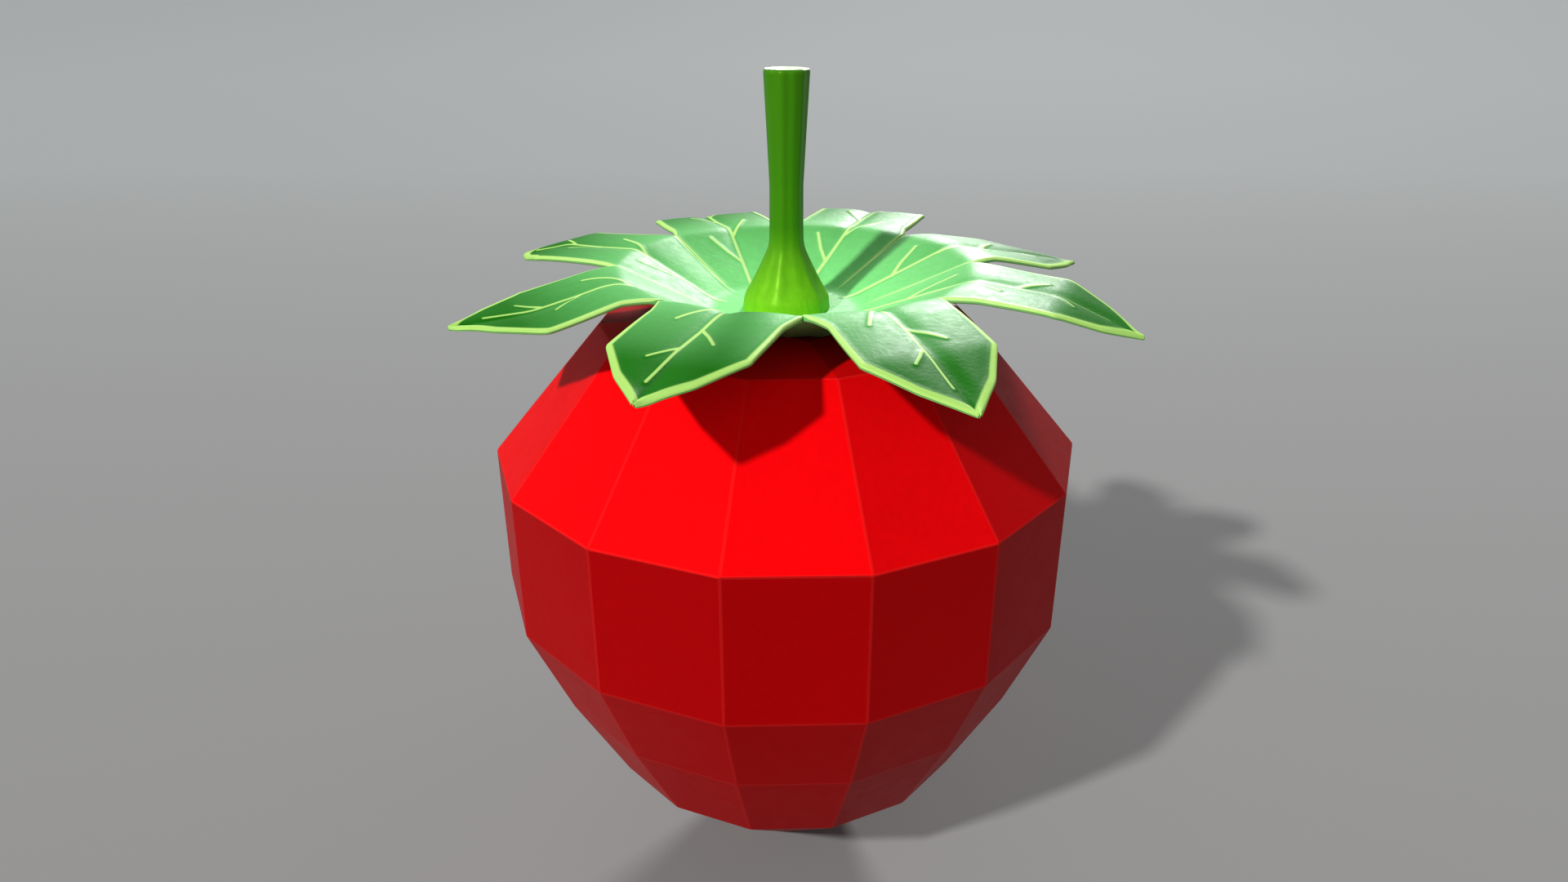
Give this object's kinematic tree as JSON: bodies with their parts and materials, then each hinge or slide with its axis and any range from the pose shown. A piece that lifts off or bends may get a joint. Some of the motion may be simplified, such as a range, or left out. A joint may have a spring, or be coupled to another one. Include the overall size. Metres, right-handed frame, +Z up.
{
  "type": "strawberry",
  "caption": "Faceted strawberry standing on a small flat at its tip, with a ring of pointed calyx leaves around an upright flared stem.",
  "frame": {"origin": "centre of the small flat at the fruit's tip, which it rests on", "axes": "+Z up along the fruit and the stem, -Y towards the gap between the two front leaves, +X to the right"},
  "size_m": [0.0335, 0.0335, 0.0459],
  "materials": {
    "fruit_skin": "smooth, moist, glossy fruit skin",
    "stem_skin": "smooth, satin green stem skin with a pale cut end",
    "calyx_leaf": "satin green leaf with pale green veins and margin"
  },
  "bodies": {
    "root": {"fruit": "fruit_skin", "stem": "stem_skin", "leaf_right_back": "calyx_leaf", "leaf_back_right": "calyx_leaf", "leaf_back_left": "calyx_leaf", "leaf_left_back": "calyx_leaf", "leaf_left": "calyx_leaf", "leaf_front_left": "calyx_leaf", "leaf_front_right": "calyx_leaf", "leaf_right": "calyx_leaf"}
  },
  "joints": []
}
